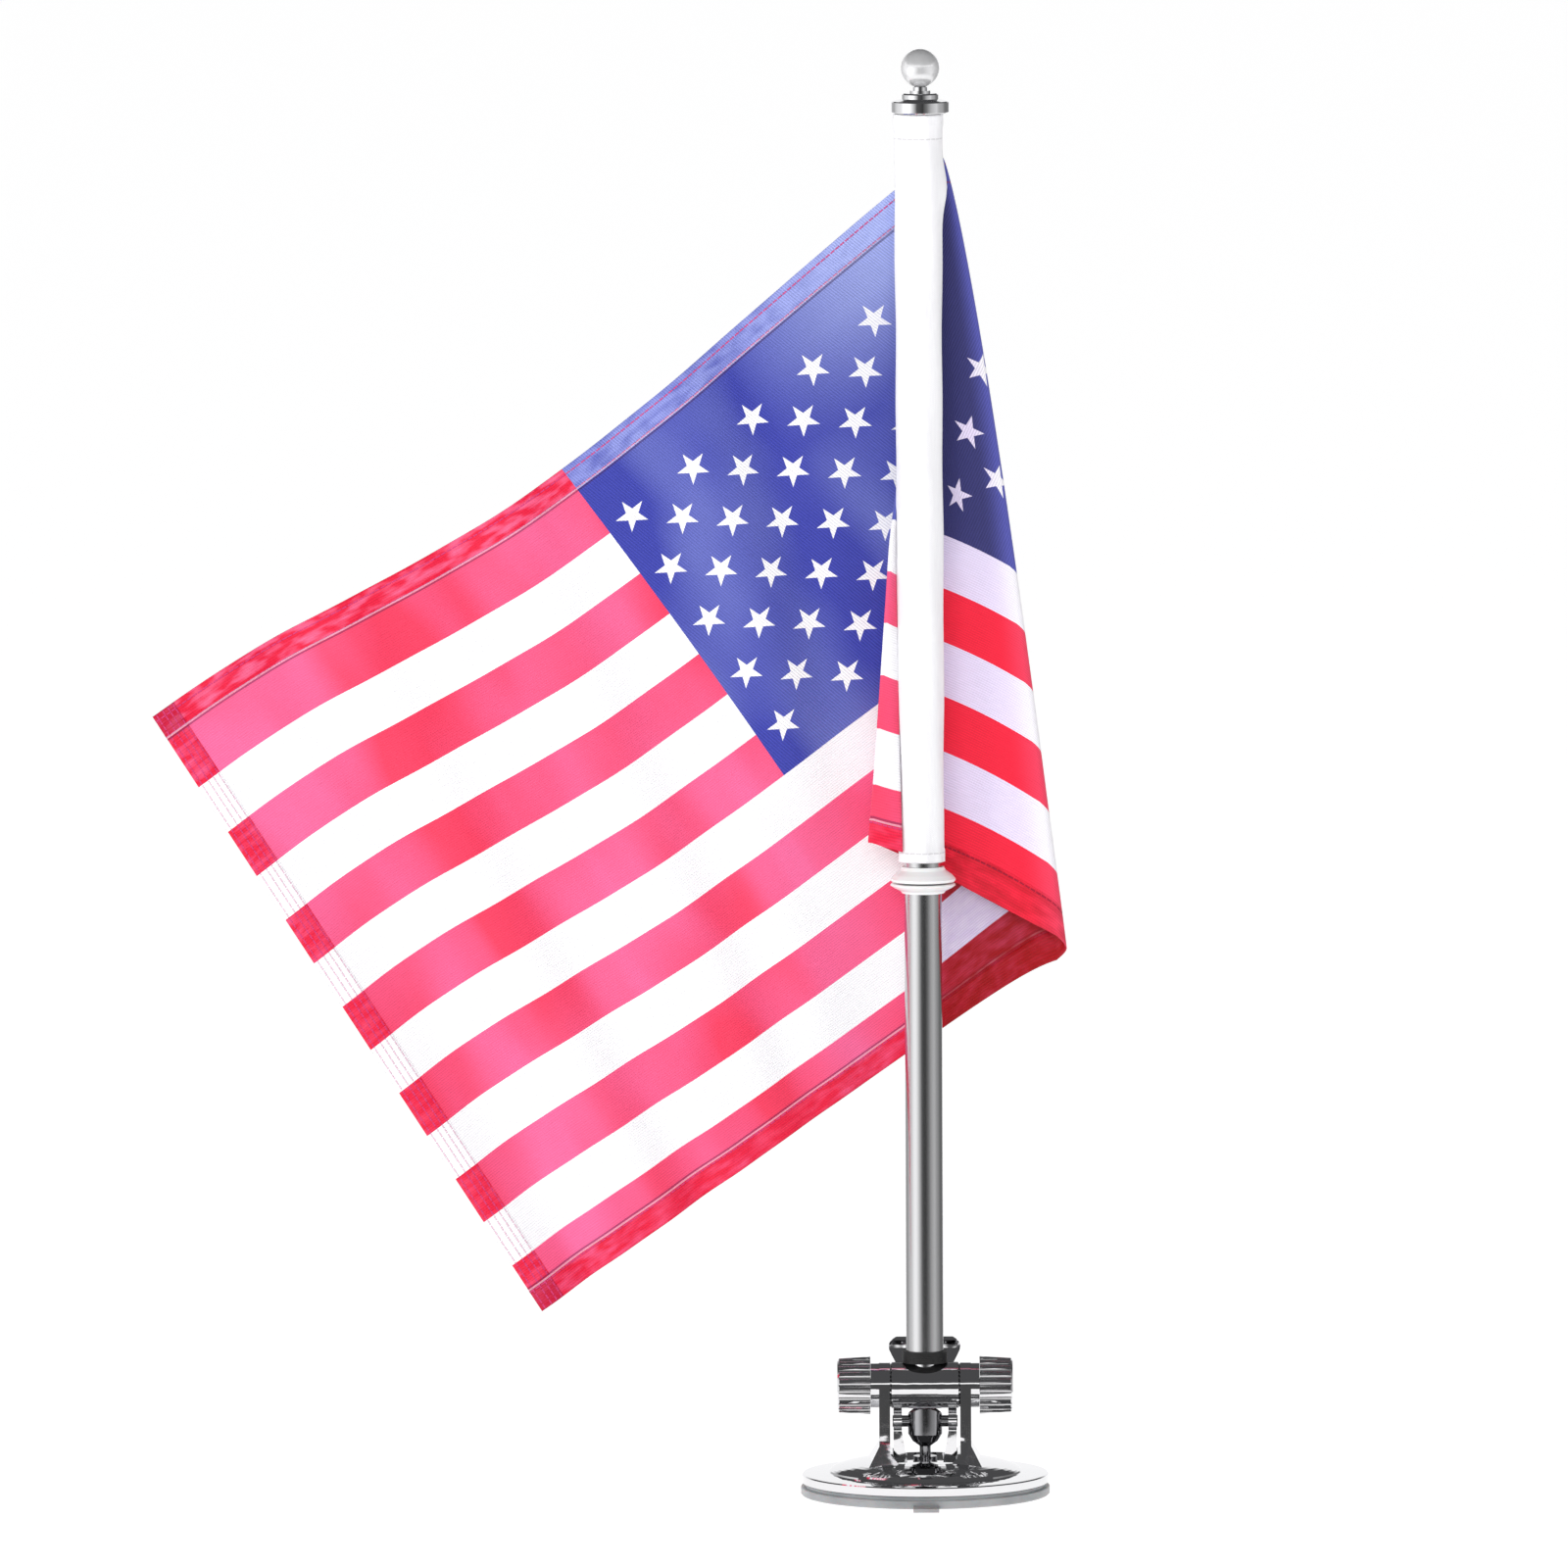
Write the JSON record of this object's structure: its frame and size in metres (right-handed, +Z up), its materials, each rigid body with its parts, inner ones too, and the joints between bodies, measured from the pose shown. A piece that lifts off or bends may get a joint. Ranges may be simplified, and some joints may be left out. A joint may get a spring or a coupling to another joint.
{
  "type": "desk flag stand",
  "caption": "Folded national flag on a chrome pole that swivels on its sleeve, tilts in a clevis and stands on a lever suction base.",
  "frame": {"origin": "centre of the suction pad where it rests on the desk", "axes": "+Z up the pole at rest, X along the tilt axis through both knobs, -Y the front with the pull tab, the flag hangs to -X"},
  "size_m": [0.3926, 0.1185, 0.6229],
  "materials": {
    "pad": "soft translucent grey",
    "chrome": "mirror polished",
    "steel": "satin",
    "black_rubber": "matt, finely ribbed",
    "white_plastic": "glossy moulded",
    "grey_plastic": "satin",
    "canvas": "plain woven canvas",
    "nylon": "printed ribbed nylon"
  },
  "bodies": {
    "base": {"suction_pad": "pad", "base_housing": "chrome", "cam_plate": "chrome", "collar_left": "chrome", "collar_right": "chrome"},
    "stem": {"suction_stem": "steel", "lever_pin": "steel"},
    "lever": {"lever": "chrome"},
    "knob_left": {"knob_left": "chrome", "knob_screw_left": "steel"},
    "knob_right": {"knob_right": "chrome", "knob_screw_right": "steel"},
    "pole": {"tilt_barrel": "chrome", "rubber_washer": "black_rubber", "pole_stud": "steel", "pole_foot_plug": "steel", "pole_tube": "steel", "pole_top_plug": "steel", "pole_cap": "chrome", "finial_ball": "chrome", "finial_stud": "steel", "ring_lower": "white_plastic", "ring_spacer": "grey_plastic"},
    "banner": {"ring_upper": "white_plastic", "flag_sleeve": "canvas", "flag": "nylon"}
  },
  "joints": [
    {"name": "pole_tilt", "type": "hinge", "parent": "base", "child": "pole", "pos_m": [0, 0, 0.047], "axis": [1, 0, 0], "range_deg": [-20, 90]},
    {"name": "flag_swivel", "type": "hinge", "parent": "pole", "child": "banner", "pos_m": [0, 0, 0.3], "axis": [0, 0, 1], "continuous": true},
    {"name": "knob_left_turn", "type": "hinge", "parent": "base", "child": "knob_left", "pos_m": [-0.03, 0, 0.047], "axis": [-1, 0, 0], "continuous": true},
    {"name": "knob_right_turn", "type": "hinge", "parent": "base", "child": "knob_right", "pos_m": [0.03, 0, 0.047], "axis": [1, 0, 0], "continuous": true},
    {"name": "stem_lift", "type": "slide", "parent": "base", "child": "stem", "axis": [0, 0, 1], "range_m": [0, 0.00195]},
    {"name": "lever_flip", "type": "hinge", "parent": "stem", "child": "lever", "pos_m": [0, 0, 0.0315], "axis": [1, 0, 0], "range_deg": [-65, 0]}
  ],
  "couplings": [
    {"joint": "lever_flip", "follows": "stem_lift", "rad_per_m": -581.7}
  ]
}
